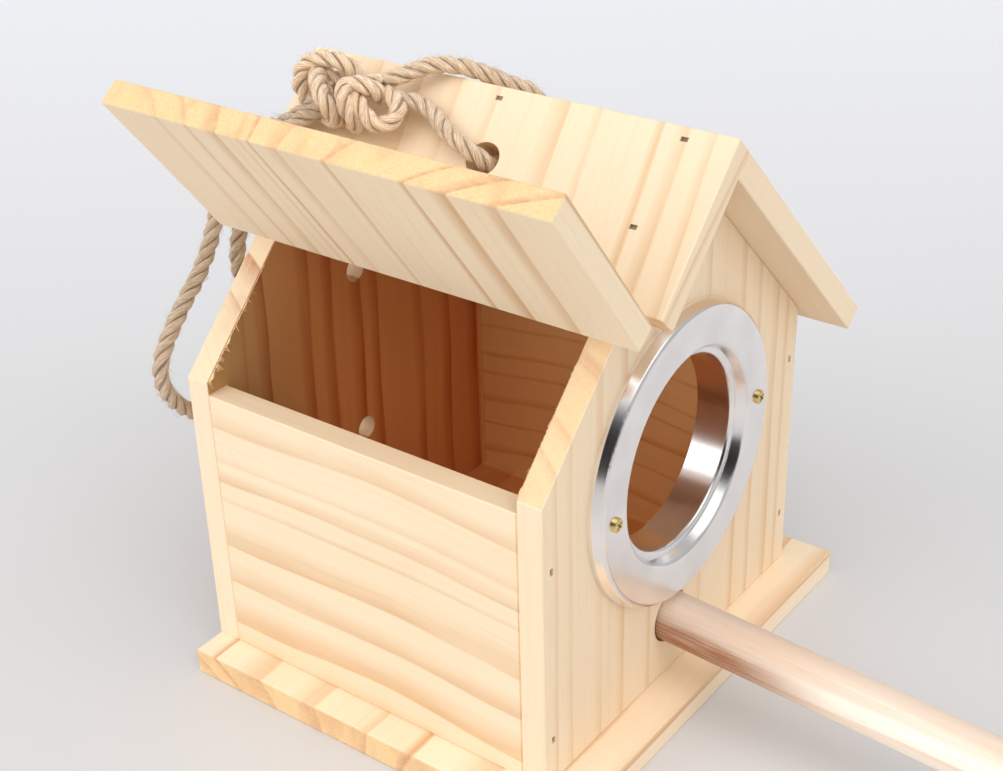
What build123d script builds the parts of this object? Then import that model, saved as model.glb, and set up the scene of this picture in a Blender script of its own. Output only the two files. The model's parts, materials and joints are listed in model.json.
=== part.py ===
from build123d import *
import os
from math import cos, pi, radians, sin, sqrt, tan

# A small pine birdhouse (parakeet nest box) with a hinged roof lid, a metal entrance ring,
# a perch and a knotted jute hanging rope. All lengths are millimetres.
# Frame: +Z up, the entrance looks along -Y, the ridge runs along Y, the lid is on the -X slope.
# Origin: the middle of the walls' footprint, on the underside of the base board.

# ---- boards ---------------------------------------------------------------------------------
BOARD_T = 7.0            # pine boards of the walls and the roof
BASE_T = 7.5             # base board
HOUSE_W = 120.0          # outer width of the gable panels, along X
HOUSE_D = 110.0          # outer depth over both gable panels, along Y
EAVE_H = 80.5            # gable panel's height at its side edges, above the base board
SIDE_DROP = 3.5          # the side walls stop this far below the panels' eave corners
BASE_SIDE = 9.5          # base board past the side walls
BASE_FRONT = 11.0        # base board past the front panel; its back edge is flush
EDGE_R = 0.5             # sanded edges of the roof boards, lid and base
EDGE_C = 0.3             # broken edges of the walls and panels

# ---- roof: two 45 degree slopes that meet at a right angle ----------------------------------
ROOF_FRONT = 12.5        # roof past the front panel
ROOF_BACK = 2.5          # roof past the back panel
SLOPE_LEN = 99.5         # outer face of a whole slope, from ridge to eave
FIXED_LEN = 45.0         # fixed board of the left slope, measured down from the ridge
HINGE_GAP = 1.5          # between the fixed board and the closed lid
LID_T = 6.75             # lid thickness; the 0.25 mm left keeps it clear of the gable slants
LID_OPEN = 97.5          # the lid stands open by this many degrees

# ---- hinges: two small steel butt hinges on the outer faces ---------------------------------
HINGE_Y = (-36.0, 26.0)  # middles of the hinges
HINGE_LEN = 25.0
LEAF_W = 9.5             # from the hinge axis to the leaf's free edge
LEAF_T = 0.8
AXIS_N = 1.55            # height of the hinge axis above the roof's outer face
KNUCKLE_R = 1.45
PIN_R = 0.75
RUN_CLEAR = 0.05         # radial clearance between the pin and the lid leaf's knuckle
KNUCKLE_GAP = 0.2        # between neighbouring knuckles, along the pin
HINGE_SCREW_R = 0.9
HINGE_SCREW_LEN = 5.5
HINGE_HEAD_R = 1.7
HINGE_HEAD_T = 0.7
HINGE_SCREW_PITCH = 14.0 # between the two screws of one leaf

# ---- entrance ring: one pressed sheet, a hollow flange that turns down into a collar --------
RING_X = -2.0            # the entrance is drilled a little left of the panel's middle
RING_Z = 73.7
RING_R = 40.2            # outer rim
RIM_H = 1.1              # height of the upright rim
FLANGE_R = 38.7          # outer edge of the flat annulus, above a steep bevel
FLANGE_H = 3.9           # flat annulus above the wood
THROAT_R = 28.9          # inner edge of the flat annulus
LIP_R = 27.4             # outer edge of the lip round the entrance
LIP_H = (0.75, 1.35)     # the lip rises a little towards the entrance
HOLE_R = 25.5            # clear entrance
SHEET_T = 0.6
COLLAR_IN = 9.3          # the collar's end, behind the panel's front face
COLLAR_CLEAR = 0.25      # around the collar in the panel
RING_SCREW_R = 33.9      # radius of the two ring screws
RING_SCREW_ANGLES = (182.1, 2.1)
RING_SHANK_R = 0.95
RING_SCREW_LEN = 9.4
RING_HEAD_R = 1.9
RING_HEAD_T = 1.0

# ---- perch ----------------------------------------------------------------------------------
PERCH_X = -3.5
PERCH_Z = 25.0
PERCH_R = 6.75
PERCH_OUT = 106.0        # length outside the panel
PERCH_SEAT = 3.0         # depth of the drilled seat
PERCH_SEAT_CLEAR = 0.65  # around the dowel in its seat
PERCH_DROOP = 2.7        # degrees below level
PERCH_YAW = 1.3          # degrees towards -X
PERCH_SCREW_R = 1.5
PERCH_SCREW_LEN = 20.0
PERCH_HEAD_R = 3.2
PERCH_HEAD_T = 1.8

# ---- fixing brads ---------------------------------------------------------------------------
BRAD_LEN = 19.0
BRAD_SHANK = (1.2, 1.0)
BRAD_HEAD = (2.0, 1.2)
BRAD_HEAD_T = 0.8
BRAD_SINK = 0.6          # heads are driven below the surface

# ---- back mounting holes --------------------------------------------------------------------
MOUNT_R = 3.5
MOUNT_X = -2.0
MOUNT_Z = (47.0, 97.0)

# ---- jute rope ------------------------------------------------------------------------------
ROPE_D = 4.4
ROPE_HOLE_R = 4.5
ROPE_HOLE_S = 19.1       # rope holes, measured down each slope from the ridge
ROPE_Y = -6.0
CROWN_KNOT_AT = (-16.6, 32.0, 154.7)
CROWN_KNOT_R = 9.0
CROWN_KNOT_LEN = 33.0
STOPPER_DEPTH = 12.2     # middle of each stopper knot, below the roof's outer face
STOPPER_R = 4.7
STOPPER_LEN = 11.0

# ---- derived --------------------------------------------------------------------------------
FRONT_Y = -HOUSE_D / 2
BACK_Y = HOUSE_D / 2
IN_FRONT_Y = FRONT_Y + BOARD_T
IN_BACK_Y = BACK_Y - BOARD_T
SIDE_X = HOUSE_W / 2
EAVE_Z = BASE_T + EAVE_H
APEX_Z = EAVE_Z + SIDE_X                     # slopes of 45 degrees
RIDGE_Z = APEX_Z + BOARD_T * sqrt(2)         # outer ridge line
ROOF_Y0 = FRONT_Y - ROOF_FRONT
ROOF_Y1 = BACK_Y + ROOF_BACK
LEFT, RIGHT = -1, 1
parts = {}


def slope_point(side, s, y, n):
    """A point s down a slope from the ridge, at y, and n out of the roof's outer face."""
    a = sqrt(0.5)
    return Vector(side * a * (s + n), y, RIDGE_Z + a * (n - s))


def slope_plane(side, s, y):
    """A plane on a slope's outer face: its z is the outward normal, its x runs along Y."""
    return Plane(origin=slope_point(side, s, y, 0), x_dir=(0, 1, 0), z_dir=(side, 0, 1))


def prism(points_xz, y0, y1):
    """A solid with an outline in X and Z, from y0 to y1."""
    plane = Plane(origin=(0, y1, 0), x_dir=(1, 0, 0), z_dir=(0, -1, 0))
    return extrude(plane * make_face(Polyline(*points_xz, close=True)), y1 - y0)


def roof_board(side, s0, s1, thickness):
    """A roof board from s0 to s1 down a slope, with sanded edges."""
    corners = [slope_point(side, s, 0, n) for s, n in ((s0, 0), (s1, 0), (s1, -thickness), (s0, -thickness))]
    board = prism([(c.X, c.Z) for c in corners], ROOF_Y0, ROOF_Y1)
    return fillet(board.edges(), EDGE_R)


def rod(radius, z0, z1):
    """A round rod along local z."""
    return Pos(0, 0, (z0 + z1) / 2) * Cylinder(radius, z1 - z0)


def block(size_x, size_y, z0, z1):
    """A rectangular bar along local z."""
    return Pos(0, 0, (z0 + z1) / 2) * Box(size_x, size_y, z1 - z0)


def brad(plane):
    """A finish brad driven against the plane's z, with its head sunk below the surface."""
    top = -BRAD_SINK
    shank = block(*BRAD_SHANK, top - BRAD_LEN, top)
    head = block(*BRAD_HEAD, top - BRAD_HEAD_T, top)
    return plane.location * (shank + head)


def brad_pocket(plane):
    """The hole that a brad leaves in the wood, open to the surface."""
    return brad(plane) + plane.location * block(*BRAD_HEAD, -BRAD_SINK, 0.5)


def screw(plane, shank_r, length, head_r, head_t, seat):
    """A dome-headed cross-slot screw driven against the plane's z, its head resting at height seat."""
    head = rod(head_r, seat, seat + head_t)
    head = fillet(head.edges().sort_by(Axis.Z)[-1], head_t * 0.6)
    for turn in (0, 90):
        head -= Rot(0, 0, turn) * block(head_r * 1.2, head_r * 0.25, seat + head_t * 0.45, seat + head_t * 1.1)
    shank = rod(shank_r, seat - length + shank_r, seat)
    tip = Pos(0, 0, seat - length + shank_r / 2) * Cone(shank_r * 0.1, shank_r, shank_r)
    return plane.location * (head + shank + tip)


def screw_bore(plane, shank_r, length, seat):
    """The hole of a screw's shank."""
    return plane.location * rod(shank_r, seat - length, seat)


def group(solids):
    """Identical separate solids kept in one node."""
    return Compound(children=list(solids))


# ---- brads: where they go -------------------------------------------------------------------
wall_x = SIDE_X - BOARD_T / 2
front_brad_planes = [
    Plane(origin=(x, FRONT_Y, z), x_dir=(0, 0, 1), z_dir=(0, -1, 0))
    for x, z in ((-wall_x, 20.5), (-wall_x, 69.5), (wall_x, 24.0), (wall_x, 74.0))
]
back_brad_planes = [
    Plane(origin=(x, BACK_Y, z), x_dir=(0, 0, 1), z_dir=(0, 1, 0)) for x in (-wall_x, wall_x) for z in (22.0, 72.0)
]
gable_y = HOUSE_D / 2 - BOARD_T / 2
ridge_brad_planes = [slope_plane(LEFT, 3.2, y) for y in (-54.5, -3.0, 49.0)]
left_slant_brad_planes = [slope_plane(LEFT, 26.0, y) for y in (-gable_y, gable_y)]
right_brad_planes = [slope_plane(RIGHT, s, y) for s in (28.0, 74.0) for y in (-gable_y, gable_y)]
base_brad_planes = [
    Plane(origin=(x, y, 0), x_dir=(1, 0, 0), z_dir=(0, 0, -1))
    for x, y in ((-38, -gable_y), (38, -gable_y), (-38, gable_y), (38, gable_y), (-wall_x, 0), (wall_x, 0))
]
left_roof_planes = ridge_brad_planes + left_slant_brad_planes


def drilled(board, planes):
    """A board with the holes of the brads that meet it."""
    for plane in planes:
        board -= brad_pocket(plane)
    return board


# ---- base and walls -------------------------------------------------------------------------
base = Pos(0, (BACK_Y + FRONT_Y - BASE_FRONT) / 2, BASE_T / 2) * Box(
    HOUSE_W + 2 * BASE_SIDE, HOUSE_D + BASE_FRONT, BASE_T
)
base = fillet(base.edges(), EDGE_R)
parts["base_board"] = drilled(base, base_brad_planes)

gable_outline = [(-SIDE_X, BASE_T), (SIDE_X, BASE_T), (SIDE_X, EAVE_Z), (0, APEX_Z), (-SIDE_X, EAVE_Z)]
gable = chamfer(prism(gable_outline, FRONT_Y, IN_FRONT_Y).edges(), EDGE_C)

side_h = EAVE_H - SIDE_DROP
side_wall = Pos(0, 0, BASE_T + side_h / 2) * Box(BOARD_T, HOUSE_D - 2 * BOARD_T, side_h)
side_wall = chamfer(side_wall.edges(), EDGE_C)
wall_brads = front_brad_planes + back_brad_planes + base_brad_planes
parts["left_side_wall"] = drilled(Pos(-wall_x, 0, 0) * side_wall, wall_brads)
parts["right_side_wall"] = drilled(Pos(wall_x, 0, 0) * side_wall, wall_brads)

# ---- perch: its own slightly tilted frame, z pointing out along the dowel -------------------
perch_dir = Vector(-sin(radians(PERCH_YAW)), -1, -sin(radians(PERCH_DROOP)))
perch_plane = Plane(origin=(PERCH_X, FRONT_Y, PERCH_Z), x_dir=(1, 0, 0), z_dir=perch_dir)
perch_screw_plane = Plane(
    origin=perch_plane.origin - perch_plane.z_dir * BOARD_T, x_dir=(1, 0, 0), z_dir=-perch_plane.z_dir
)
perch_screw_seat = 0.0
perch = rod(PERCH_R, -PERCH_SEAT, PERCH_OUT)
perch = fillet(perch.edges().sort_by(Axis.Z)[-1], 0.8)
perch_bore = screw_bore(perch_screw_plane, PERCH_SCREW_R, PERCH_SCREW_LEN, perch_screw_seat)
parts["perch_dowel"] = perch_plane.location * perch - perch_bore
parts["perch_screw"] = screw(
    perch_screw_plane, PERCH_SCREW_R, PERCH_SCREW_LEN, PERCH_HEAD_R, PERCH_HEAD_T, perch_screw_seat
)
perch_head_pocket = perch_screw_plane.location * rod(PERCH_HEAD_R + 0.2, perch_screw_seat, PERCH_HEAD_T + 1)
perch_seat = perch_plane.location * rod(PERCH_R + PERCH_SEAT_CLEAR, -PERCH_SEAT, PERCH_SEAT)

# ---- entrance ring --------------------------------------------------------------------------
ring_plane = Plane(origin=(RING_X, FRONT_Y, RING_Z), x_dir=(1, 0, 0), z_dir=(0, 0, -1))
half_t = SHEET_T / 2
ring_sheet = FilletPolyline(
    (RING_R - half_t, 0),
    (RING_R - half_t, RIM_H),
    (FLANGE_R, FLANGE_H - half_t),
    (THROAT_R, FLANGE_H - half_t),
    (LIP_R, LIP_H[0] - half_t),
    (HOLE_R + half_t, LIP_H[1] - half_t),
    (HOLE_R + half_t, -COLLAR_IN),
    radius=[0.5, 1.0, 1.2, 0.6, 0.8],
)
ring_axis = Axis((RING_X, FRONT_Y, RING_Z), (0, -1, 0))
ring = revolve(ring_plane * trace(ring_sheet, SHEET_T), ring_axis)
ring_screw_planes = [
    Plane(
        origin=(RING_X + RING_SCREW_R * cos(radians(a)), FRONT_Y, RING_Z + RING_SCREW_R * sin(radians(a))),
        x_dir=(1, 0, 1),
        z_dir=(0, -1, 0),
    )
    for a in RING_SCREW_ANGLES
]
ring_screw_spec = (RING_SHANK_R, RING_SCREW_LEN, RING_HEAD_R, RING_HEAD_T, FLANGE_H)
parts["ring_screws"] = group(screw(plane, *ring_screw_spec) for plane in ring_screw_planes)
ring_screw_bores = [screw_bore(plane, RING_SHANK_R, RING_SCREW_LEN, FLANGE_H) for plane in ring_screw_planes]
for bore in ring_screw_bores:
    ring -= bore
parts["entrance_ring"] = ring

# ---- gable panels ---------------------------------------------------------------------------
entrance_plane = Plane(origin=(RING_X, FRONT_Y, RING_Z), z_dir=(0, -1, 0))
entrance = entrance_plane.location * rod(HOLE_R + SHEET_T + COLLAR_CLEAR, -BOARD_T - 1, 1)
front = gable - entrance - perch_seat - perch_bore - perch_head_pocket
for bore in ring_screw_bores:
    front -= bore
front_brads = front_brad_planes + [base_brad_planes[0], base_brad_planes[1]]
front_brads += [left_slant_brad_planes[0], right_brad_planes[0], right_brad_planes[2]]
parts["front_gable_panel"] = drilled(front, front_brads)

back = Pos(0, HOUSE_D - BOARD_T, 0) * gable
for z in MOUNT_Z:
    back -= Location(Plane(origin=(MOUNT_X, BACK_Y, z), z_dir=(0, 1, 0))) * rod(MOUNT_R, -BOARD_T - 1, 1)
back_brads = back_brad_planes + [base_brad_planes[2], base_brad_planes[3]]
back_brads += [left_slant_brad_planes[1], right_brad_planes[1], right_brad_planes[3]]
parts["back_gable_panel"] = drilled(back, back_brads)

# ---- roof boards ----------------------------------------------------------------------------
rope_bores = {
    side: slope_plane(side, ROPE_HOLE_S, ROPE_Y).location * rod(ROPE_HOLE_R, -BOARD_T - 1, 1) for side in (LEFT, RIGHT)
}
left_board = drilled(roof_board(LEFT, 0, FIXED_LEN, BOARD_T) - rope_bores[LEFT], left_roof_planes)
right_board = roof_board(RIGHT, BOARD_T, SLOPE_LEN, BOARD_T) - rope_bores[RIGHT]
parts["right_roof_board"] = drilled(right_board, right_brad_planes + ridge_brad_planes)
lid = roof_board(LEFT, FIXED_LEN + HINGE_GAP, SLOPE_LEN, LID_T)

# ---- hinges ---------------------------------------------------------------------------------
axis_s = FIXED_LEN + HINGE_GAP / 2
axis_point = slope_point(LEFT, axis_s, 0, AXIS_N)
lid_swing = Axis(axis_point, (0, 1, 0))
knuckle_edges = [HINGE_LEN * k / 3 - HINGE_LEN / 2 for k in range(4)]


def along_axis(radius, y0, y1):
    """A round bar on the hinge axis."""
    plane = Plane(origin=(axis_point.X, y0, axis_point.Z), z_dir=(0, 1, 0))
    return plane.location * rod(radius, 0, y1 - y0)


def leaf(mid_y, toward_lid):
    """One hinge leaf with its knuckles: the outer two on the roof leaf, the middle one on the lid leaf."""
    s_far = axis_s + (LEAF_W if toward_lid else -LEAF_W)
    s0, s1 = sorted((axis_s, s_far))
    centre = slope_plane(LEFT, (s0 + s1) / 2, mid_y)
    plate = centre.location * block(HINGE_LEN, s1 - s0, 0, LEAF_T)
    own, other = [], []
    for k in range(3):
        y0, y1 = mid_y + knuckle_edges[k], mid_y + knuckle_edges[k + 1]
        (own if (k == 1) == toward_lid else other).append((y0, y1))
    for y0, y1 in other:
        plate -= along_axis(KNUCKLE_R + 0.3, y0 - KNUCKLE_GAP / 2, y1 + KNUCKLE_GAP / 2)
    for y0, y1 in own:
        plate += along_axis(KNUCKLE_R, y0 + KNUCKLE_GAP / 2, y1 - KNUCKLE_GAP / 2)
    bore_r = PIN_R + (RUN_CLEAR if toward_lid else 0)
    plate -= along_axis(bore_r, mid_y - HINGE_LEN, mid_y + HINGE_LEN)
    for plane in leaf_screw_planes(mid_y, toward_lid):
        plate -= plane.location * rod(HINGE_SCREW_R, -1, 2)
    return plate


def leaf_screw_planes(mid_y, toward_lid):
    """The two screw places of a leaf."""
    s = axis_s + (LEAF_W * 0.62 if toward_lid else -LEAF_W * 0.62)
    return [slope_plane(LEFT, s, mid_y + dy) for dy in (-HINGE_SCREW_PITCH / 2, HINGE_SCREW_PITCH / 2)]


def opened(shape):
    """A piece of the closed lid, swung to where it stands open."""
    return shape.rotate(lid_swing, LID_OPEN)


roof_screws, lid_screws = [], []
hinge_screw = (HINGE_SCREW_R, HINGE_SCREW_LEN, HINGE_HEAD_R, HINGE_HEAD_T, LEAF_T)
for name, mid_y in zip(("front", "rear"), HINGE_Y):
    parts[f"{name}_hinge_roof_leaf"] = leaf(mid_y, False)
    parts[f"{name}_hinge_lid_leaf"] = opened(leaf(mid_y, True))
    parts[f"{name}_hinge_pin"] = along_axis(PIN_R, mid_y - HINGE_LEN / 2, mid_y + HINGE_LEN / 2)
    for plane in leaf_screw_planes(mid_y, False):
        roof_screws.append(screw(plane, *hinge_screw))
        left_board -= screw_bore(plane, HINGE_SCREW_R, HINGE_SCREW_LEN, LEAF_T)
    for plane in leaf_screw_planes(mid_y, True):
        lid_screws.append(opened(screw(plane, *hinge_screw)))
        lid -= screw_bore(plane, HINGE_SCREW_R, HINGE_SCREW_LEN, LEAF_T)
parts["left_roof_board"] = left_board
parts["roof_lid"] = opened(lid)
parts["hinge_roof_screws"] = group(roof_screws)
parts["hinge_lid_screws"] = group(lid_screws)

# ---- brads ----------------------------------------------------------------------------------
brad_groups = {
    "front_panel_brads": front_brad_planes,
    "back_panel_brads": back_brad_planes,
    "left_roof_brads": left_roof_planes,
    "right_roof_brads": right_brad_planes,
    "base_brads": base_brad_planes,
}
for name, planes in brad_groups.items():
    parts[name] = group(brad(plane) for plane in planes)


# ---- rope: tubes of straight runs joined by tangent arcs ------------------------------------
def corner_radii(points):
    """The largest arc at each corner: 0.45 of the shorter run, over the tangent of half the turn."""
    radii = []
    for before, here, after in zip(points, points[1:], points[2:]):
        run_in, run_out = here - before, after - here
        turn = radians(run_in.get_angle(run_out))
        radii.append(0.45 * min(run_in.length, run_out.length) / tan(turn / 2))
    return radii


def rope(name, route):
    """A rope's tube along its route; prints its length, radii and a volume check."""
    points = [Vector(*p) for p in route]
    radii = corner_radii(points)
    path = FilletPolyline(*points, radius=radii)
    start = Plane(origin=points[0], z_dir=points[1] - points[0])
    tube = sweep(start * Circle(ROPE_D / 2), path=path)
    section = pi * ROPE_D**2 / 4
    print(name, "length", round(path.length, 1), "radii", [round(r, 1) for r in radii])
    print(name, "volume / (section x length)", round(tube.volume / (section * path.length), 4))
    return tube


def knot(centre, radius, length, direction):
    """The outer shape of a knot: a long rounded body of revolution."""
    half = length / 2
    outline = [
        Spline((0, -half), (radius, 0), (0, half), tangents=((1, 0), (-1, 0))),
        Line((0, half), (0, -half)),
    ]
    x_dir = Vector(0, 0, 1).cross(direction)
    plane = Plane(origin=centre, x_dir=x_dir, z_dir=x_dir.cross(direction))
    return revolve(plane * make_face(outline), Axis(centre, direction))


LEFT_LEG = [
    (-6.6, -7.4, 137.5), (-10.6, -6.8, 141.4), (-16.0, -3.6, 147.2), (-14.0, 4.0, 148.9),
    (-9.8, 12.0, 152.2), (-10.6, 18.5, 153.8), (-13.5, 24.5, 153.8),
]
RIGHT_LEG = [
    (6.6, -7.4, 137.5), (10.6, -6.8, 141.4), (15.6, -4.4, 146.9), (12.2, -2.2, 153.2),
    (7.4, 0.4, 155.4), (3.6, 5.0, 158.6), (0.2, 10.5, 160.7), (-3.4, 16.4, 161.0),
    (-7.2, 21.0, 159.0), (-11.0, 25.5, 157.0),
]
HANGING_LOOP = [
    (-19.0, 39.0, 150.5), (-21.0, 49.0, 146.2), (-22.0, 59.5, 143.6), (-23.8, 66.5, 135.5),
    (-29.5, 66.0, 122.5), (-39.5, 65.0, 110.0), (-53.0, 64.5, 99.2), (-62.7, 64.5, 86.5),
    (-54.5, 65.0, 71.6), (-38.5, 65.0, 63.5), (-23.5, 65.0, 71.5), (-21.8, 65.0, 87.5),
    (-30.5, 65.0, 103.5), (-24.0, 65.0, 117.5), (-18.5, 66.0, 128.0), (-17.3, 66.5, 139.5),
    (-16.8, 59.5, 146.4), (-15.8, 49.0, 149.4), (-14.5, 39.0, 153.8),
]
parts["rope_left_leg"] = rope("rope_left_leg", LEFT_LEG)
parts["rope_right_leg"] = rope("rope_right_leg", RIGHT_LEG)
parts["rope_hanging_loop"] = rope("rope_hanging_loop", HANGING_LOOP)
parts["rope_crown_knot"] = knot(CROWN_KNOT_AT, CROWN_KNOT_R, CROWN_KNOT_LEN, Vector(-0.06, 1, -0.04))
for side, word in ((LEFT, "left"), (RIGHT, "right")):
    centre = slope_point(side, ROPE_HOLE_S, ROPE_Y, -STOPPER_DEPTH)
    parts[f"rope_{word}_stopper_knot"] = knot(centre, STOPPER_R, STOPPER_LEN, Vector(0, 1, 0))

os.makedirs("parts", exist_ok=True)
for name, shape in parts.items():
    shape.label = name
    export_step(shape, f"parts/{name}.step")
print(len(parts), "nodes, hinge axis at", axis_point)
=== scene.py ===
import json
import math
import random

import bpy
import numpy as np
from mathutils import Matrix, Vector, noise


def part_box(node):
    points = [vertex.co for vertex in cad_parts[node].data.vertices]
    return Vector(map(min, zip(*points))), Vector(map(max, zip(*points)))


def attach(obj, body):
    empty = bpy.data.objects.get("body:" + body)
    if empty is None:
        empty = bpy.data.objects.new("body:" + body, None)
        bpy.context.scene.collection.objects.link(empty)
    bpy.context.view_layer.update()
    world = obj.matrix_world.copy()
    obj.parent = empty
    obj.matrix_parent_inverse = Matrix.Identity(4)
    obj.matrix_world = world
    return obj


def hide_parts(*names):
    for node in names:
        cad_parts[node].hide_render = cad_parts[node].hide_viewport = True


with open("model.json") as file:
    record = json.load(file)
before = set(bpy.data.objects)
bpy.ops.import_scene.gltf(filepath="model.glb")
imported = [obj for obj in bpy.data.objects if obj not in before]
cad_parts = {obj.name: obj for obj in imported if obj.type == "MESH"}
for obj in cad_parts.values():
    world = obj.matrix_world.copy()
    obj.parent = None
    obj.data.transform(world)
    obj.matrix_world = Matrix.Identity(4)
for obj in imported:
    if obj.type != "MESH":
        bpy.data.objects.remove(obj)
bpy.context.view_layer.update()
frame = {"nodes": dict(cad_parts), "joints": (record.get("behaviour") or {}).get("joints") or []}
nodes = frame["nodes"]
MM = 0.001
SLANT = math.sqrt(0.5)


# ---- small helpers --------------------------------------------------------------------------
def new_mesh(name, points, faces, smooth=True, uvs=None, crown=None):
    """A mesh object from points and faces; uvs holds one pair for each point, and crown one number."""
    mesh = bpy.data.meshes.new(name)
    mesh.from_pydata([tuple(p) for p in points], [], [tuple(f) for f in faces])
    mesh.validate()
    if smooth:
        mesh.polygons.foreach_set("use_smooth", [True] * len(mesh.polygons))
    if uvs is not None:
        layer = mesh.uv_layers.new(name="UVMap")
        for loop in mesh.loops:
            layer.data[loop.index].uv = uvs[loop.vertex_index]
    if crown is not None:
        mesh.attributes.new("crown", "FLOAT", "POINT").data.foreach_set("value", crown)
    piece = bpy.data.objects.new(name, mesh)
    bpy.context.scene.collection.objects.link(piece)
    return piece


def skin(rings, sides, first=0):
    """Faces of a closed tube from rings of points, counted from the first point's number."""
    faces = []
    for i in range(rings - 1):
        for k in range(sides):
            a, b = first + i * sides + k, first + i * sides + (k + 1) % sides
            faces.append((a, b, b + sides, a + sides))
    last = first + (rings - 1) * sides
    faces.append(tuple(range(first + sides - 1, first - 1, -1)))
    faces.append(tuple(range(last, last + sides)))
    return faces


def finish_piece(piece, material, body):
    """Gives a new piece its material and its body."""
    piece.data.materials.append(material)
    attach(piece, body)
    return piece


# ---- camera ---------------------------------------------------------------------------------
CAMERA_AT = Vector((-0.30977, -0.23454, 0.29037))
CAMERA_TURN = (1.888136, -0.971661, 0.539695)    # rotation vector from the object to the view
CAMERA_LENS = 60.12      # both in millimetres
SENSOR_WIDTH = 36.0


def add_camera():
    """The camera, from its place and its rotation vector."""
    turn = Vector(CAMERA_TURN)
    to_view = Matrix.Rotation(turn.length, 3, turn.normalized())
    camera = bpy.data.objects.new("camera", bpy.data.cameras.new("camera"))
    right, down, forward = (Vector(row) for row in to_view)
    columns = Matrix((right, -down, -forward)).transposed()
    camera.matrix_world = Matrix.Translation(CAMERA_AT) @ columns.to_4x4()
    camera.data.lens = CAMERA_LENS
    camera.data.sensor_width = SENSOR_WIDTH
    camera.data.clip_start = 0.01
    bpy.context.scene.collection.objects.link(camera)
    bpy.context.scene.camera = camera


add_camera()


# ---- node-tree helpers ----------------------------------------------------------------------
class Tree:
    """The node tree of a new material, or of a world, with short calls for its nodes."""

    def __init__(self, name, world=None):
        self.owner = world or bpy.data.materials.new(name)
        self.owner.use_nodes = True
        self.nodes = self.owner.node_tree.nodes
        self.links = self.owner.node_tree.links

    def put(self, socket, value):
        """Links a socket to another node's output, or sets its value."""
        if isinstance(value, bpy.types.NodeSocket):
            self.links.new(value, socket)
        else:
            socket.default_value = value

    def math(self, operation, a, b=0.0, c=0.0, clamp=False):
        node = self.nodes.new("ShaderNodeMath")
        node.operation = operation
        node.use_clamp = clamp
        for socket, value in zip(node.inputs, (a, b, c)):
            self.put(socket, value)
        return node.outputs[0]

    def dot(self, vector, direction):
        node = self.nodes.new("ShaderNodeVectorMath")
        node.operation = "DOT_PRODUCT"
        self.put(node.inputs[0], vector)
        self.put(node.inputs[1], direction)
        return node.outputs["Value"]

    def combine(self, x, y, z):
        node = self.nodes.new("ShaderNodeCombineXYZ")
        for socket, value in zip(node.inputs, (x, y, z)):
            self.put(socket, value)
        return node.outputs[0]

    def noise(self, vector, scale=1.0, detail=2.0, roughness=0.5):
        node = self.nodes.new("ShaderNodeTexNoise")
        self.put(node.inputs["Vector"], vector)
        node.inputs["Scale"].default_value = scale
        node.inputs["Detail"].default_value = detail
        node.inputs["Roughness"].default_value = roughness
        return node.outputs["Fac"]

    def spread(self, value, low, high, to_low=0.0, to_high=1.0):
        """Maps a value smoothly from one range to another, and clamps it."""
        node = self.nodes.new("ShaderNodeMapRange")
        node.interpolation_type = "SMOOTHSTEP"
        for socket, given in zip(node.inputs, (value, low, high, to_low, to_high)):
            self.put(socket, given)
        return node.outputs[0]

    def mix(self, factor, a, b, blend="MIX"):
        node = self.nodes.new("ShaderNodeMix")
        node.data_type = "RGBA"
        node.blend_type = blend
        self.put(node.inputs["Factor"], factor)
        self.put(node.inputs["A"], a)
        self.put(node.inputs["B"], b)
        return node.outputs["Result"]

    def ramp(self, value, stops):
        """A grey ramp through (place, level) stops."""
        node = self.nodes.new("ShaderNodeValToRGB")
        self.put(node.inputs["Fac"], value)
        elements = node.color_ramp.elements
        for element, (place, level) in zip(elements, (stops[0], stops[-1])):
            element.position = place
            element.color = (level, level, level, 1)
        for place, level in stops[1:-1]:
            elements.new(place).color = (level, level, level, 1)
        return node.outputs["Color"]

    def bump(self, height, strength, distance):
        node = self.nodes.new("ShaderNodeBump")
        self.put(node.inputs["Height"], height)
        node.inputs["Strength"].default_value = strength
        node.inputs["Distance"].default_value = distance
        return node.outputs["Normal"]

    def coordinates(self, output="Object"):
        return self.nodes.new("ShaderNodeTexCoord").outputs[output]

    def xyz(self, vector):
        """The three parts of a vector."""
        node = self.nodes.new("ShaderNodeSeparateXYZ")
        self.put(node.inputs[0], vector)
        return node.outputs

    def set(self, **values):
        """Sets or links the shader's sockets, whose names have _ for a space; returns the material."""
        for name, value in values.items():
            self.put(self.nodes["Principled BSDF"].inputs[name.replace("_", " ")], value)
        return self.owner


def rgb(red, green, blue):
    """A screen colour, 0 to 255, as the linear colour that a shader takes."""
    def linear(level):
        level /= 255
        return level / 12.92 if level <= 0.04045 else ((level + 0.055) / 1.055) ** 2.4
    return (linear(red), linear(green), linear(blue), 1.0)


# ---- pine -----------------------------------------------------------------------------------
EARLYWOOD = rgb(248, 226, 194)
LATEWOOD = rgb(221, 172, 116)
HEARTWOOD = rgb(160, 100, 60)
END_GRAIN = rgb(246, 208, 154)
END_RING = rgb(204, 144, 106)
INDOOR_PAINTED_SHADE = (0.86, 0.46, 0.21, 1)            # painted shade: the wood inside the box made darker and browner
INDOOR_PAINTED_SHADE_LEFT = (0.52, 0.37, 0.20, 1)       # painted shade, darker still beside the opening
INDOOR_PAINTED_SHADE_RIGHT = (1.08, 0.80, 0.47, 1)      # painted shade on the right side wall, lighter and redder
wall_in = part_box("right_side_wall")[0].x      # the chamber's half width
gable_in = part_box("back_gable_panel")[0].y    # the chamber's half depth
gable_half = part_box("back_gable_panel")[1].x
wall_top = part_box("left_side_wall")[1].z
floor_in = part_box("base_board")[1].z
roof_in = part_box("back_gable_panel")[1].z     # height of the slants where x is 0


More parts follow.
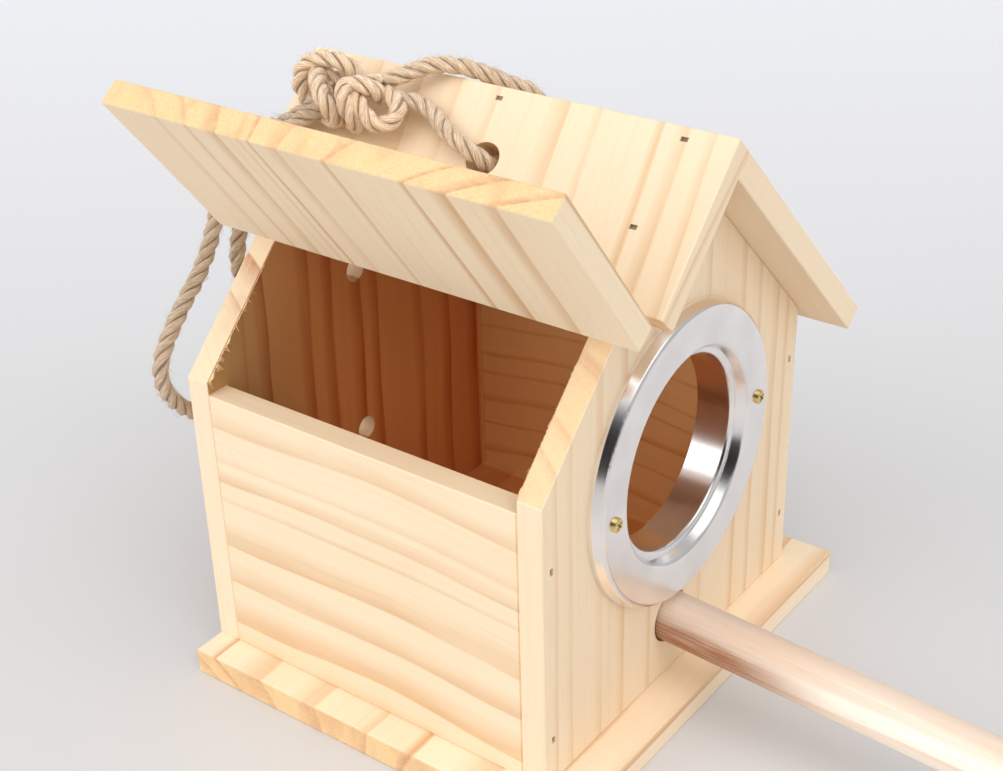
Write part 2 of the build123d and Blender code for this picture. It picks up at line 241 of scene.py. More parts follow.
def indoor_shade_mask(tree, place):
    """1 on the faces that bound the chamber, and 0 elsewhere: the mask of the painted indoor shade."""
    x, y, z = tree.xyz(place)
    wide, deep = tree.math("ABSOLUTE", x), tree.math("ABSOLUTE", y)
    slack = 0.2 * MM
    over_wall = tree.math("MULTIPLY", tree.math("GREATER_THAN", z, wall_top + slack),
                          tree.math("LESS_THAN", wide, gable_half - slack))
    inside = tree.math("MAXIMUM", tree.math("LESS_THAN", wide, wall_in + slack), over_wall)
    limits = (
        tree.math("LESS_THAN", deep, gable_in + slack),
        tree.math("LESS_THAN", tree.math("ADD", wide, z), roof_in + slack),
        tree.math("GREATER_THAN", z, floor_in - slack),
    )
    for limit in limits:
        inside = tree.math("MULTIPLY", inside, limit)
    return inside


BAND_EDGE = 0.35         # millimetres over which a latewood band ends
STOP_GAP = 0.0005        # least distance between two stops of a ramp
MOST_BANDS = 9           # a ramp holds 32 stops


def band_stops(bands, width):
    """Ramp stops for latewood bands: each rises softly over its own width and ends sharply."""
    stops = [(0.0, 0.0)]
    for place, rise, level in sorted(bands):
        start = max((place - rise) / width, stops[-1][0] + STOP_GAP)
        stops.append((start, 0.0))
        stops.append((max((place - BAND_EDGE) / width, start + STOP_GAP), level))
        stops.append((max(place / width, start + 2 * STOP_GAP), 0.0))
    stops.append((1.0, 0.0))
    return stops


def scattered_bands(width, seed, gap=(6.0, 14.0), level=(0.25, 0.75)):
    """Latewood bands at uneven places, for a board that needs no certain figure."""
    draw = random.Random(seed)
    bands = []
    place = draw.uniform(2.0, gap[1])
    while place < width - 1.0 and len(bands) < MOST_BANDS:
        bands.append((place, draw.uniform(1.0, 4.5), draw.uniform(*level)))
        place += draw.uniform(*gap)
    return bands


def pine(name, origin, grain, across, width, bands, pith=(60.0, 60.0), lean=0.0, wave=1.0,
         arch=(0.0, 0.0, 1.0), early=EARLYWOOD, late=LATEWOOD, seed=0.0, heart=None, sawn=END_GRAIN,
         paint_indoor_shade=True):
    """Pine for one board, in millimetres from origin: grain and across are directions in the board,
    bands are latewood stripes across it, pith is where the growth rings turn over and how far away
    their centre is, lean tilts the stripes, wave is how much they waver, arch (height, middle, half
    length) bows them, and heart (place across, half width, start along, end along, level) is one dark
    streak. early and late are the colours of the wood's two parts, sawn that of its cut ends, and
    paint_indoor_shade paints shade on the faces inside the chamber, making them darker and browner."""
    tree = Tree(name)
    grain, across = Vector(grain).normalized(), Vector(across).normalized()
    place = tree.coordinates()
    origin = Vector(origin)

    def millimetres(direction):
        """Distance from the origin along a direction."""
        return tree.math("MULTIPLY_ADD", tree.dot(place, direction), 1 / MM, -origin.dot(direction) / MM)

    def times(value, factor, plus=0.0):
        """A value times a factor, plus another."""
        return tree.math("MULTIPLY_ADD", value, factor, plus)

    def drawn_out(rate, second, third=0.0, detail=2.0, roughness=0.5):
        """Noise that changes slowly along the grain."""
        return tree.noise(tree.combine(times(along, rate), second, third), detail=detail, roughness=roughness)

    along, side, depth = (millimetres(d) for d in (grain, across, grain.cross(across)))

    # Growth rings: the stripe coordinate leans, wavers, bows and fans out with depth.
    drift = drawn_out(0.016, times(side, 0.035, seed), detail=1.5)
    wander = times(tree.math("SUBTRACT", drift, 0.5), 5.0 * wave)
    pith_at, pith_deep = pith
    fan = tree.math("MULTIPLY", times(side, 1 / pith_deep, -pith_at / pith_deep), depth)
    arch_height, arch_at, arch_half = arch
    bow_place = times(along, 1 / arch_half, -arch_at / arch_half)
    bell = tree.math("EXPONENT", times(tree.math("MULTIPLY", bow_place, bow_place), -1.0))
    stripe = times(along, lean, side)
    for shift in (wander, fan, times(bell, arch_height)):
        stripe = tree.math("ADD", stripe, shift)
    marked = tree.ramp(tree.math("DIVIDE", stripe, width), band_stops(bands, width))
    fine = drawn_out(0.004, times(stripe, 0.55, seed), detail=3.0, roughness=0.6)
    rings = tree.math("ADD", marked, tree.spread(fine, 0.50, 0.78, 0.0, 0.16), clamp=True)
    strength = drawn_out(0.02, times(side, 0.12, seed), depth)
    rings = tree.math("MULTIPLY", rings, tree.spread(strength, 0.25, 0.65, 0.55, 1.15), clamp=True)

    # Fibres run along the grain; seen end on they are the speckle of the end grain.
    fibre = drawn_out(0.035, times(side, 2.4), times(depth, 2.4), detail=3.0, roughness=0.65)
    dash = drawn_out(0.22, times(side, 3.0), times(depth, 3.0, seed), detail=1.0)
    patch = drawn_out(0.010, times(side, 0.03), seed)
    face_colour = tree.mix(rings, early, late)
    face_colour = tree.mix(tree.spread(patch, 0.35, 0.75, 0.0, 0.16), face_colour, late)
    face_colour = tree.mix(tree.spread(dash, 0.66, 0.78, 0.0, 0.22), face_colour, late)
    if heart:
        heart_at, half, start, stop, level = heart
        off = tree.math("ABSOLUTE", tree.math("SUBTRACT", stripe, heart_at))
        streak = tree.math("MULTIPLY", tree.spread(off, half, half * 0.2), tree.spread(along, stop, start))
        streak = tree.math("MULTIPLY", streak, tree.spread(fibre, 0.25, 0.6, level * 0.6, level))
        face_colour = tree.mix(streak, face_colour, HEARTWOOD)

    # Sawn ends: the rings again, broken up by pores and blotches.
    end_colour = tree.mix(times(rings, 0.9), sawn, END_RING)
    speckle = tree.noise(place, scale=1500.0, detail=2.0, roughness=0.7)
    end_colour = tree.mix(tree.spread(speckle, 0.48, 0.75, 0.0, 0.20), end_colour, END_RING)
    end_colour = tree.mix(tree.spread(speckle, 0.48, 0.28, 0.0, 0.35), end_colour, EARLYWOOD)
    blotch = tree.noise(tree.combine(times(side, 0.11), times(depth, 0.06), seed), detail=2.0)
    end_colour = tree.mix(tree.spread(blotch, 0.45, 0.7, 0.0, 0.30), end_colour, END_RING)

    facing = tree.math("ABSOLUTE", tree.dot(tree.coordinates("Normal"), grain))
    end = tree.spread(facing, 0.35, 0.92)
    colour = tree.mix(end, face_colour, end_colour)
    grain_tint = tree.ramp(fibre, [(0.0, 0.78), (0.5, 1.0), (1.0, 1.0)])
    colour = tree.mix(0.35, colour, grain_tint, "MULTIPLY")
    # Painted shade: faces inside the chamber are made darker and browner, most beside the opening and least
    # on the right side wall.
    if paint_indoor_shade:
        x = tree.xyz(place)[0]
        indoor_shade = tree.mix(tree.spread(x, -10 * MM, -55 * MM), INDOOR_PAINTED_SHADE, INDOOR_PAINTED_SHADE_LEFT)
        indoor_shade = tree.mix(tree.spread(x, wall_in - 3 * MM, wall_in), indoor_shade, INDOOR_PAINTED_SHADE_RIGHT)
        colour = tree.mix(indoor_shade_mask(tree, place), colour, tree.mix(1.0, colour, indoor_shade, "MULTIPLY"))

    relief = times(rings, 0.5, fibre)
    relief = times(tree.math("MULTIPLY", speckle, end), 1.6, relief)
    return tree.set(
        Base_Color=colour,
        Roughness=tree.spread(fibre, 0.2, 0.8, 0.62, 0.48),
        Specular_IOR_Level=0.35,
        Normal=tree.bump(relief, 0.35, 0.18 * MM),
    )


def paint(material, *names):
    """Gives CAD nodes a material on all their slots."""
    for name in names:
        for slot in nodes[name].material_slots:
            slot.material = material
        if not nodes[name].material_slots:
            nodes[name].data.materials.append(material)


X, Y, Z = Vector((1, 0, 0)), Vector((0, 1, 0)), Vector((0, 0, 1))
LEFT_SLOPE = Vector((-SLANT, 0, -SLANT))
RIGHT_SLOPE = Vector((SLANT, 0, -SLANT))
hinge = frame["joints"][0]
LID_SLOPE = Matrix.Rotation(-math.radians(hinge["range_deg"][0]), 3, Y) @ LEFT_SLOPE


def corner(node, x, y, z):
    """A corner of a node's box: 0 for the low side and 1 for the high one."""
    low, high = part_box(node)
    return Vector((high[i] if side else low[i] for i, side in enumerate((x, y, z))))


# Sizes across each board's grain, in millimetres; the perch's has room for its tilt.
ROOF_DEPTH, WALL_HEIGHT, GABLE_WIDTH, BASE_DEPTH, PERCH_SPAN = 125.0, 81.0, 120.0, 121.0, 20.0

# Lid: stripes down its slope, counted from its rear end.
paint(
    pine("pine_lid", corner("roof_lid", 0, 1, 1), -LID_SLOPE, -Y, ROOF_DEPTH,
         [(16.5, 3.5, 0.35), (26.0, 2.2, 0.45), (35.5, 4.5, 0.55), (43.5, 2.0, 0.3), (46.8, 1.6, 0.8),
          (55.0, 4.0, 0.45), (69.5, 2.2, 0.65), (92.8, 2.4, 0.75), (104.2, 6.0, 0.7), (117.4, 4.6, 0.8)],
         pith=(48.0, 30.0), lean=0.03, wave=0.5, late=rgb(206, 156, 100), seed=3.1),
    "roof_lid",
)
# Fixed roof board.
paint(
    pine("pine_left_roof", corner("left_roof_board", 1, 1, 1), LEFT_SLOPE, -Y, ROOF_DEPTH,
         [(8.0, 3.0, 0.3), (22.0, 4.0, 0.35), (36.5, 5.5, 0.75), (49.0, 3.0, 0.35), (61.0, 3.5, 0.35),
          (82.0, 6.0, 0.45), (91.5, 2.5, 0.4), (108.6, 2.5, 0.75), (115.5, 4.0, 0.55), (123.0, 3.0, 0.5)],
         pith=(40.0, 70.0), lean=-0.10, wave=0.6, seed=7.7),
    "left_roof_board",
)
# Right roof board: figure at uneven places, as on the right wall further on.
paint(
    pine("pine_right_roof", corner("right_roof_board", 0, 1, 1), RIGHT_SLOPE, -Y, ROOF_DEPTH,
         scattered_bands(ROOF_DEPTH, 11), pith=(30.0, 60.0), lean=0.05, wave=0.8, seed=12.3),
    "right_roof_board",
)
# Side walls: the grain lies level, with a low arch near the middle.
paint(
    pine("pine_left_wall", corner("left_side_wall", 0, 1, 1), -Y, -Z, WALL_HEIGHT,
         [(9.0, 5.5, 0.45), (19.5, 3.0, 0.3), (25.5, 4.5, 0.55), (31.5, 2.0, 0.4), (45.5, 8.5, 0.65),
          (57.5, 7.5, 0.6), (70.5, 9.0, 0.75), (79.5, 5.0, 0.6)],
         pith=(70.0, 40.0), lean=-0.025, wave=1.0, arch=(2.6, 52.0, 30.0), seed=1.9, paint_indoor_shade=False),
    "left_side_wall",
)
paint(
    pine("pine_right_wall", corner("right_side_wall", 0, 1, 1), -Y, -Z, WALL_HEIGHT,
         scattered_bands(WALL_HEIGHT, 23, level=(0.4, 0.9)), pith=(20.0, 50.0), lean=0.03, wave=1.3,
         arch=(5.0, 40.0, 34.0), seed=5.3),
    "right_side_wall",
)
# Gable panels: upright grain.
paint(
    pine("pine_front", corner("front_gable_panel", 0, 0, 0), Z, X, GABLE_WIDTH,
         [(6.0, 2.5, 0.35), (12.0, 3.0, 0.3), (24.5, 3.5, 0.35), (34.5, 3.5, 0.5), (47.0, 3.0, 0.4),
          (72.0, 3.5, 0.4), (90.0, 3.5, 0.55), (98.5, 3.0, 0.55), (108.5, 4.0, 0.6), (114.5, 2.5, 0.5)],
         pith=(50.0, 80.0), lean=0.0, wave=0.5, seed=9.4),
    "front_gable_panel",
)
paint(
    pine("pine_back", corner("back_gable_panel", 0, 0, 0), Z, X, GABLE_WIDTH,
         [(14.0, 2.5, 0.4), (22.5, 5.0, 1.0), (39.0, 5.0, 0.9), (48.0, 5.0, 0.9), (59.0, 5.5, 1.0),
          (66.0, 4.5, 0.95), (85.0, 4.5, 0.8), (97.5, 5.0, 0.9), (111.0, 6.0, 0.95)],
         pith=(60.0, 90.0), lean=0.0, wave=0.9, late=rgb(205, 140, 88), seed=14.2,
         sawn=rgb(252, 228, 190)),
    "back_gable_panel",
)
# Base: its grain runs across the box.
paint(
    pine("pine_base", corner("base_board", 0, 1, 0), X, -Y, BASE_DEPTH,
         [(9.0, 5.0, 0.5), (16.5, 2.0, 0.85), (29.0, 7.0, 0.5), (46.0, 8.0, 0.55), (60.0, 3.0, 0.6),
          (72.5, 3.0, 0.95), (90.0, 9.0, 0.8), (101.0, 4.0, 0.6), (113.5, 6.0, 0.9)],
         pith=(55.0, 40.0), lean=0.02, wave=1.0, early=rgb(255, 234, 204), late=rgb(220, 168, 112),
         seed=18.8),
    "base_board",
)
# Perch: fine straight grain along it, with one dark streak near the panel.
perch_line = Vector((math.sin(math.radians(1.3)), 1, math.sin(math.radians(2.7))))
paint(
    pine("perch_beech", corner("perch_dowel", 0, 0, 0), perch_line, X, PERCH_SPAN,
         [(5.0, 2.0, 0.35), (9.5, 2.6, 0.75), (13.5, 2.0, 0.4), (18.0, 2.5, 0.5)], pith=(8.0, 12.0),
         wave=0.35, early=rgb(255, 245, 230), late=rgb(212, 166, 130), seed=2.2,
         heart=(5.5, 3.2, 88.0, 52.0, 0.95), paint_indoor_shade=False),
    "perch_dowel",
)


# ---- metals ---------------------------------------------------------------------------------
def metal(name, colour, worn, roughness, scratch_scale, stretch=(1.0, 1.0, 1.0)):
    """A metal whose colour and polish vary with fine scratches and a few duller patches."""
    tree = Tree(name)
    place = tree.coordinates()
    mapping = tree.nodes.new("ShaderNodeMapping")
    mapping.inputs["Scale"].default_value = stretch
    tree.put(mapping.inputs["Vector"], place)
    scratches = tree.noise(mapping.outputs[0], scale=scratch_scale, detail=4.0, roughness=0.7)
    patches = tree.noise(place, scale=90.0, detail=2.0)
    return tree.set(
        Base_Color=tree.mix(tree.spread(patches, 0.35, 0.75), colour, worn),
        Metallic=1.0,
        Roughness=tree.spread(scratches, 0.25, 0.8, roughness * 0.75, roughness * 1.35),
        Normal=tree.bump(scratches, 0.08, 0.012 * MM),
    )


ring_metal = metal("pressed_tin", rgb(250, 247, 245), rgb(240, 236, 234), 0.21, 8000.0, (0.04, 1.0, 1.0))
brass = metal("brass", rgb(240, 216, 152), rgb(212, 176, 106), 0.28, 900.0)
hinge_steel = metal("zinc_steel", rgb(196, 194, 188), rgb(160, 158, 152), 0.35, 900.0)
brad_steel = metal("dull_steel", rgb(190, 178, 164), rgb(128, 114, 100), 0.5, 1500.0)
paint(ring_metal, "entrance_ring")
paint(brass, "ring_screws")
hinges = [f"{end}_hinge_{part}" for end in ("front", "rear") for part in ("roof_leaf", "lid_leaf", "pin")]
paint(hinge_steel, *hinges, "hinge_roof_screws", "hinge_lid_screws", "perch_screw")
paint(brad_steel, "front_panel_brads", "back_panel_brads", "left_roof_brads", "right_roof_brads",
      "base_brads")


# ---- jute rope: three strands laid around a smooth route ------------------------------------
ROPE_D = 4.4 * MM
STRAND_R = 0.258 * ROPE_D
STRAND_OFF = 0.247 * ROPE_D
LAY = 13.0 * MM          # length of one full turn of the strands
YARNS = 5                # fibre bundles seen around a strand
STEP = 0.45 * MM         # spacing of the rings of points along a strand
SIDES = 14
GROOVE = 0.055           # depth of the grooves between yarns, as a share of a strand's radius
WAVER = 0.07             # most that the radius changes along a strand, as a share of it
YARN_TURN = -2 * math.pi / (1.3 * LAY)    # the yarns' own turn, against the strands'
HAIRS_PER_METRE = 8000


def metres(points):
    """A route given in millimetres."""
    return [Vector(p) * MM for p in points]


LEFT_LEG = metres([
    (-6.6, -7.4, 137.5), (-10.6, -6.8, 141.4), (-16.0, -3.6, 147.2), (-14.0, 4.0, 148.9),
    (-9.8, 12.0, 152.2), (-10.6, 18.5, 153.8), (-13.5, 24.5, 153.8),
])
RIGHT_LEG = metres([
    (6.6, -7.4, 137.5), (10.6, -6.8, 141.4), (15.6, -4.4, 146.9), (12.2, -2.2, 153.2),
    (7.4, 0.4, 155.4), (3.6, 5.0, 158.6), (0.2, 10.5, 160.7), (-3.4, 16.4, 161.0),
    (-7.2, 21.0, 159.0), (-11.0, 25.5, 157.0),
])
HANGING_LOOP = metres([
    (-19.0, 39.0, 150.5), (-21.5, 44.5, 147.0), (-26.0, 50.5, 141.5), (-29.0, 58.5, 137.0),
    (-31.0, 65.0, 130.0), (-33.5, 66.0, 120.5), (-40.5, 65.0, 109.5), (-53.0, 64.5, 99.2),
    (-62.7, 64.5, 86.5), (-54.5, 65.0, 71.6), (-38.5, 65.0, 63.5), (-23.5, 65.0, 71.5),
    (-21.8, 65.0, 87.5), (-30.5, 65.0, 103.5), (-26.0, 65.0, 117.0), (-22.0, 66.5, 127.0),
    (-22.0, 65.5, 136.5), (-21.5, 58.0, 141.5), (-18.5, 48.5, 145.5), (-14.5, 39.0, 153.8),
])


def smooth_line(route):
    """Points along the smooth curve that has the route as its control points."""
    curve = bpy.data.curves.new("route", "CURVE")
    curve.dimensions = "3D"
    curve.resolution_u = 24
    spline = curve.splines.new("NURBS")
    spline.points.add(len(route) - 1)
    for point, place in zip(spline.points, route):
        point.co = (*place, 1)
    spline.order_u = 3
    spline.use_endpoint_u = True
    holder = bpy.data.objects.new("route", curve)
    mesh = bpy.data.meshes.new_from_object(holder)
    line = [v.co.copy() for v in mesh.vertices]
    bpy.data.objects.remove(holder)
    bpy.data.curves.remove(curve)
    bpy.data.meshes.remove(mesh)
    return line


def distances(points):
    """How far along the line each point is."""
    return np.concatenate([[0], np.cumsum(np.linalg.norm(np.diff(points, axis=0), axis=1))])


def directions(points):
    """Unit vectors along the line at each point."""
    tangents = np.gradient(points, axis=0)
    return tangents / np.linalg.norm(tangents, axis=1)[:, None]


def even_points(line, step):
    """The same line at even spacing, as an array, with the distance of each point from its start."""
    line = np.array([tuple(p) for p in line])
    run = distances(line)
    count = max(int(run[-1] / step), 4)
    at = np.linspace(0, run[-1], count + 1)
    return np.stack([np.interp(at, run, line[:, i]) for i in range(3)], 1), at


def carried_frames(points):
    """Two directions across the line at each point, carried along it without twisting."""
    tangents = directions(points)
    first = np.cross(tangents[0], (0.3, 0.5, 0.8))
    first /= np.linalg.norm(first)
    across = [first]
    for tangent in tangents[1:]:
        carried = across[-1] - tangent * across[-1].dot(tangent)
        across.append(carried / np.linalg.norm(carried))
    across = np.array(across)
    return across, np.cross(tangents, across)


def tube(points, radii, seed):
    """A closed strand along points: its radius wavers, and shallow grooves part its yarns."""
    across, up = carried_frames(points)
    run = distances(points)
    around = np.linspace(0, 2 * math.pi, SIDES, endpoint=False)
    rows, uvs = [], []
    for i, centre in enumerate(points):
        groove = np.cos(YARNS * (around + YARN_TURN * run[i]))
        waver = noise.noise(Vector((run[i] * 260, seed, 0))) * WAVER
        radius = radii[i] * (1 + waver + GROOVE * groove)
        spokes = np.cos(around)[:, None] * across[i] + np.sin(around)[:, None] * up[i]
        rows.append(centre + radius[:, None] * spokes)
        uvs += [(run[i] / MM, (a + YARN_TURN * run[i]) / (2 * math.pi)) for a in around]
    return np.concatenate(rows), skin(len(points), SIDES), uvs


def strands(line, seed, phase=0.0):
    """Points, faces, uvs and crown heights of the three strands along a line. A point's crown height
    is its distance from the line, and 1 on the rope's outside."""
    centres, run = even_points(line, STEP)
    across, up = carried_frames(centres)
    points, faces, uvs, crown = [], [], [], []
    for k in range(3):
        turn = phase + 2 * math.pi * (k / 3 + run / LAY)
        off = STRAND_OFF * (np.cos(turn)[:, None] * across + np.sin(turn)[:, None] * up)
        radii = STRAND_R * np.ones(len(run))
        more, more_faces, more_uvs = tube(centres + off, radii, seed + 10 * k)
        shift = sum(len(p) for p in points)
        faces += [tuple(i + shift for i in face) for face in more_faces]
        points.append(more)
        uvs += more_uvs
        crown.append(np.linalg.norm(more - np.repeat(centres, SIDES, axis=0), axis=1) / (ROPE_D / 2))
    return np.concatenate(points), faces, uvs, np.concatenate(crown)


def hairs(lines, per_metre, seed):
    """Loose fibres that stand off the rope: thin tapered three-sided blades, mostly laid along it."""
    draw = random.Random(seed)
    points, faces = [], []
    for line in lines:
        centres, run = even_points(line, STEP)
        across, up = carried_frames(centres)
        tangents = directions(centres)
        for _ in range(int(run[-1] * per_metre)):
            i = draw.randrange(2, len(run) - 2)
            angle = draw.uniform(0, 2 * math.pi)
            outward = math.cos(angle) * across[i] + math.sin(angle) * up[i]
            sideways = np.cross(tangents[i], outward)
            lie = draw.choice((-1, 1)) * draw.uniform(0.5, 1.2)
            reach = draw.uniform(0.8, 3.8) * MM
            heading = tangents[i] * lie + outward * draw.uniform(0.15, 0.8)
            heading = heading + sideways * draw.uniform(-0.7, 0.7)
            heading /= np.linalg.norm(heading)
            curl = (outward * draw.uniform(-0.6, 0.4) + sideways * draw.uniform(-0.5, 0.5)) * reach
            root = centres[i] + outward * ROPE_D * 0.42
            thick = draw.uniform(0.035, 0.075) * MM
            base = len(points)
            for step in range(4):
                t = step / 3
                middle = root + heading * reach * t + curl * t * t * 0.5
                for corner_turn in range(3):
                    a = 2 * math.pi * corner_turn / 3
                    swing = math.cos(a) * outward + math.sin(a) * sideways
                    points.append(middle + swing * thick * (1 - 0.8 * t))
            faces += skin(4, 3, base)
    return points, faces


def jute_material(name, shade_crevices, shade=1.0):
    """Jute: tan fibres streaked along each strand, without shine. If shade_crevices, painted shade darkens it
    where the crown height is low, between strands.
    shade brightens or darkens it all, as painted light and painted shade."""
    tree = Tree(name)
    run, around, _ = tree.xyz(tree.coordinates("UV"))
    streak_at = tree.combine(tree.math("MULTIPLY", run, 0.35), tree.math("MULTIPLY", around, 26.0), 0.0)
    streak = tree.noise(streak_at, detail=3.0, roughness=0.7)
    place = tree.coordinates()
    patch = tree.noise(place, scale=260.0, detail=2.0)
    fleck = tree.noise(place, scale=2600.0, detail=2.0, roughness=0.7)
    colour = tree.mix(tree.spread(streak, 0.3, 0.7), rgb(176, 144, 112), rgb(248, 228, 202))
    colour = tree.mix(tree.spread(patch, 0.4, 0.75, 0.0, 0.5), colour, rgb(222, 192, 156))
    colour = tree.mix(tree.spread(fleck, 0.62, 0.8, 0.0, 0.5), colour, rgb(138, 102, 72))
    # Painted shade between the strands, where the crown height is low.
    if shade_crevices:
        crown = tree.nodes.new("ShaderNodeAttribute")
        crown.attribute_name = "crown"
        crevice_shade = tree.spread(crown.outputs["Fac"], 0.88, 0.60, 0.0, 0.85)
        colour = tree.mix(crevice_shade, colour, rgb(104, 76, 52))
    # Painted light and shade over the whole colour: shade above 1 lightens it, and below 1 darkens it.
    colour = tree.mix(1.0, colour, (shade, shade, shade, 1), "MULTIPLY")
    height = tree.math("ADD", streak, tree.math("MULTIPLY", fleck, 0.5))
    return tree.set(
        Base_Color=colour, Roughness=0.92, Specular_IOR_Level=0.15, Sheen_Weight=0.25,
        Sheen_Roughness=0.6, Normal=tree.bump(height, 0.6, 0.25 * MM),
    )


# Lit and shaded copies of one jute: painted shade makes the hanging loop's rope a little darker than the
# legs', and painted light makes the crown knot's a little paler.
jute = jute_material("jute", shade_crevices=True, shade=1.05)
jute_painted_shade = jute_material("jute_painted_shade", shade_crevices=True, shade=0.86)
jute_painted_light = jute_material("jute_painted_light", shade_crevices=True, shade=1.22)
jute_fibre = jute_material("jute_fibre", shade_crevices=False)


def rope_piece(name, lines, seed, node, material=jute):
    """A rope piece of three strands along each of its lines, in place of a CAD node."""
    points, faces, uvs, crown = [], [], [], []
    for n, line in enumerate(lines):
        more, more_faces, more_uvs, more_crown = strands(line, seed + 31 * n, phase=1.3 * n + seed)
        shift = sum(len(p) for p in points)
        faces += [tuple(i + shift for i in face) for face in more_faces]
        points.append(more)
        uvs += more_uvs
        crown.append(more_crown)
    piece = new_mesh(name, np.concatenate(points), faces, uvs=uvs, crown=np.concatenate(crown))
    finish_piece(piece, material, "house")
    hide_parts(node)
    return piece


# The crown knot: each leg's rope wraps over the other and leaves as one end of the loop.
CROWN_TURNS_A = metres([
    (-13.5, 24.5, 153.8), (-16.5, 23.5, 157.0), (-18.5, 26.5, 158.5), (-20.0, 30.0, 158.5),
    (-23.0, 29.0, 156.0), (-22.5, 27.5, 152.0), (-20.5, 26.0, 148.0), (-15.5, 33.5, 147.0),
    (-13.5, 42.0, 148.0), (-14.5, 48.5, 149.0), (-16.0, 49.5, 153.5), (-15.3, 48.0, 159.0),
    (-13.8, 42.5, 161.3), (-12.5, 36.0, 160.5), (-10.0, 34.5, 155.5), (-11.5, 38.5, 150.0),
    (-14.0, 44.0, 148.0), (-19.0, 39.0, 150.5),
])
CROWN_TURNS_B = metres([
    (-11.0, 25.5, 157.0), (-14.0, 29.5, 157.0), (-15.5, 32.5, 156.0), (-20.5, 26.5, 155.0),
    (-21.0, 24.0, 152.0), (-20.5, 21.0, 149.5), (-18.5, 18.0, 150.0), (-16.0, 16.5, 153.0),
    (-13.5, 21.0, 155.0), (-11.0, 28.0, 154.5), (-9.5, 36.0, 153.0), (-12.5, 41.5, 155.8),
    (-14.8, 44.5, 157.6), (-21.5, 38.0, 156.0), (-23.5, 33.5, 153.0), (-20.5, 33.0, 148.0),
    (-16.0, 41.5, 147.0), (-16.5, 46.0, 148.5), (-14.5, 39.0, 153.8),
])


COIL_POINTS, POINTS_PER_TURN = 11, 6


def stopper_turns(node, leg_start):
    """The route of a stopper knot: the rope comes down into a short coil and ends beside it."""
    low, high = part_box(node)
    middle = (low + high) / 2
    route = [leg_start, leg_start.lerp(middle, 0.5)]
    coil_r = (high.z - low.z) / 2 - ROPE_D / 2
    half_span = (high.y - low.y) / 2 - ROPE_D / 2
    for n in range(COIL_POINTS):
        turn = 2 * math.pi * n / POINTS_PER_TURN
        swing = Vector((math.sin(turn), 0, math.cos(turn))) * coil_r
        route.append(middle + swing + Y * (2 * n / (COIL_POINTS - 1) - 1) * half_span)
    return route


left_line, right_line, loop_line = (smooth_line(r) for r in (LEFT_LEG, RIGHT_LEG, HANGING_LOOP))
crown_lines = [smooth_line(r) for r in (CROWN_TURNS_A, CROWN_TURNS_B)]
left_stop = smooth_line(stopper_turns("rope_left_stopper_knot", LEFT_LEG[0]))
right_stop = smooth_line(stopper_turns("rope_right_stopper_knot", RIGHT_LEG[0]))
crown_knot = rope_piece("rope_crown_knot_strands", crown_lines, 4, "rope_crown_knot", material=jute_painted_light)
left_knot = rope_piece("rope_left_stopper_strands", [left_stop], 5, "rope_left_stopper_knot")
right_knot = rope_piece("rope_right_stopper_strands", [right_stop], 6, "rope_right_stopper_knot")
left_leg = rope_piece("rope_left_leg_strands", [left_line], 1, "rope_left_leg")
right_leg = rope_piece("rope_right_leg_strands", [right_line], 2, "rope_right_leg")
hanging_loop = rope_piece("rope_hanging_loop_strands", [loop_line], 3, "rope_hanging_loop",
                          material=jute_painted_shade)

fuzz_points, fuzz_faces = hairs([left_line, right_line, loop_line, *crown_lines], HAIRS_PER_METRE, 5)
finish_piece(new_mesh("rope_fuzz", fuzz_points, fuzz_faces), jute_fibre, "house")


# ---- torn fibres along the sawn slants ------------------------------------------------------
torn_pine = pine("torn_pine", corner("front_gable_panel", 0, 0, 0), Z, X, GABLE_WIDTH,
                 scattered_bands(GABLE_WIDTH, 5), seed=4.4, paint_indoor_shade=False)


TORN_FROM, TORN_TO = -wall_in - 6.5 * MM, -36.0 * MM    # where the slants are bare, in x
TORN_STEPS = 110
UNDER_SLANT = 0.05 * MM      # the lip stays this far under the slant's surface
LIP_ROOT = 0.55 * MM


def torn_edge(name, y_edge, inward, seed):
    """A ragged lip of torn fibres along a left slant's inner edge, just under the slant's surface."""
    points = []
    for i in range(TORN_STEPS + 1):
        x = TORN_FROM + (TORN_TO - TORN_FROM) * i / TORN_STEPS
        z = roof_in + x - UNDER_SLANT
        tooth = max(0.0, noise.noise(Vector((x * 420, seed, 0.0)))) ** 1.4 * 2.2
        shred = max(0.0, noise.noise(Vector((x * 1900, seed + 7.0, 0.0)))) * 0.7
        reach = (0.04 + tooth * 0.55 + shred * 0.55) * MM
        points += [
            (x, y_edge - inward * 0.3 * MM, z),
            (x, y_edge + inward * reach, z - 0.12 * MM - 0.25 * reach),
            (x, y_edge - inward * 0.05 * MM, z - LIP_ROOT),
        ]
    lip = new_mesh(name, points, skin(TORN_STEPS + 1, 3), smooth=False)
    finish_piece(lip, torn_pine, "house")


